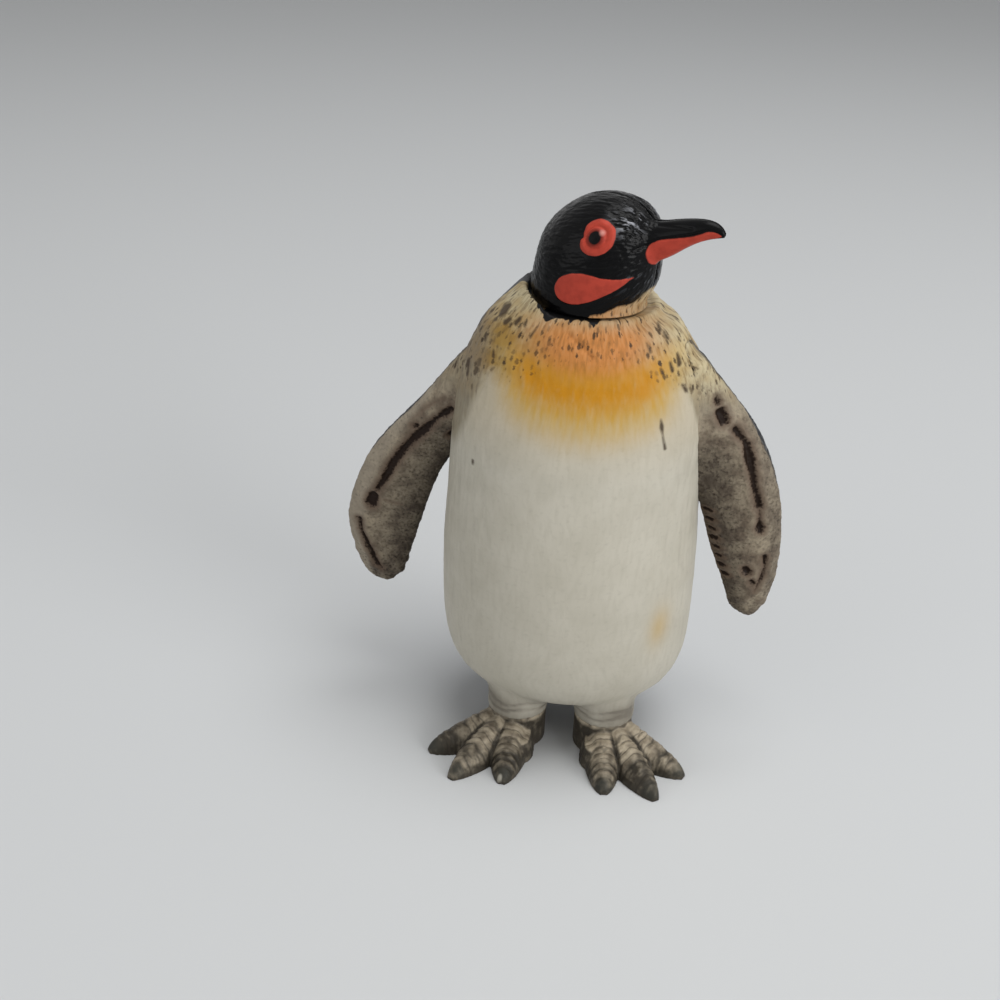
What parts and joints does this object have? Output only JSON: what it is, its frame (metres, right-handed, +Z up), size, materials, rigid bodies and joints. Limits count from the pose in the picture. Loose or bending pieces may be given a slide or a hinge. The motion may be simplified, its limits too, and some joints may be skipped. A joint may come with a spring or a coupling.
{
  "type": "penguin figurine",
  "caption": "Small painted plastic penguin figurine, upright on webbed feet, with spread flippers and a head that swivels in its collar.",
  "frame": {"origin": "on the ground, under the middle of the figurine's bounding box", "axes": "+Z up; the body faces -Y; +X is the figurine's own left"},
  "size_m": [0.0612, 0.0347, 0.08],
  "materials": {
    "ivory_front": "moulded PVC, satin hand paint, ivory with a golden bib",
    "charcoal_back": "moulded PVC, satin dark grey paint with a pale dry brush",
    "black_head": "moulded PVC, glossy black paint with coral patches",
    "grey_brown_limbs": "moulded PVC, grey-brown with a dark wash in the grooves"
  },
  "bodies": {
    "body": {"body_front_shell": "ivory_front", "body_back_shell": "charcoal_back", "left_flipper": "grey_brown_limbs", "right_flipper": "grey_brown_limbs", "left_foot": "grey_brown_limbs", "right_foot": "grey_brown_limbs"},
    "head": {"head_left_shell": "black_head", "head_right_shell": "black_head"}
  },
  "joints": [
    {"name": "neck_swivel", "type": "hinge", "parent": "body", "child": "head", "pos_m": [0.0024, -0.00006, 0.066], "axis": [0, 0, 1], "continuous": true}
  ]
}
